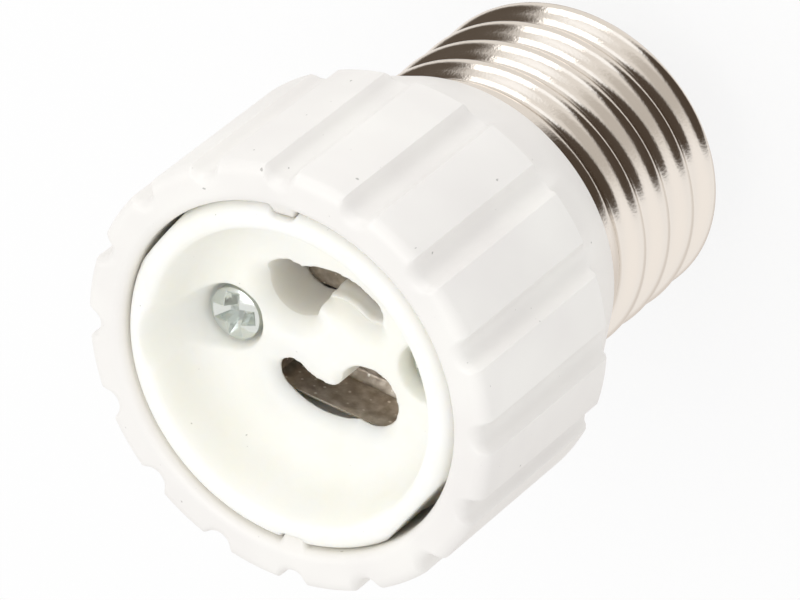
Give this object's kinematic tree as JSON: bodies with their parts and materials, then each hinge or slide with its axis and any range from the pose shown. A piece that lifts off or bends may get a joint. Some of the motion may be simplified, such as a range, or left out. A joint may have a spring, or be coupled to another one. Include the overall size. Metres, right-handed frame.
{
  "type": "lamp socket adapter",
  "caption": "Fluted white lamp socket adapter: a threaded screw cap at one end and a dished ceramic twist-lock socket for a two-pin lamp at the other.",
  "frame": {"origin": "tip of the centre contact, on the lamp axis", "axes": "+Z along the lamp axis and out of the socket, +X through the insert screws, +Y through the keys"},
  "size_m": [0.036, 0.036, 0.049],
  "materials": {
    "white_plastic": "moulded white thermoplastic, satin",
    "ivory_ceramic": "unglazed pressed ceramic, ivory",
    "nickel_plate": "rolled sheet, satin nickel plate",
    "contact_brass": "nickel-plated brass rivet",
    "zinc_plate": "bright zinc plate",
    "spring_bronze": "dull plated spring bronze",
    "lead_sleeve": "silicone sleeve on stranded wire"
  },
  "bodies": {
    "root": {"housing": "white_plastic", "socket_insert": "ivory_ceramic", "screw_shell": "nickel_plate", "centre_contact": "contact_brass", "insert_screw_left": "zinc_plate", "insert_screw_right": "zinc_plate", "line_contact": "spring_bronze", "neutral_contact": "spring_bronze", "line_lead": "lead_sleeve", "neutral_lead": "lead_sleeve"}
  },
  "joints": []
}
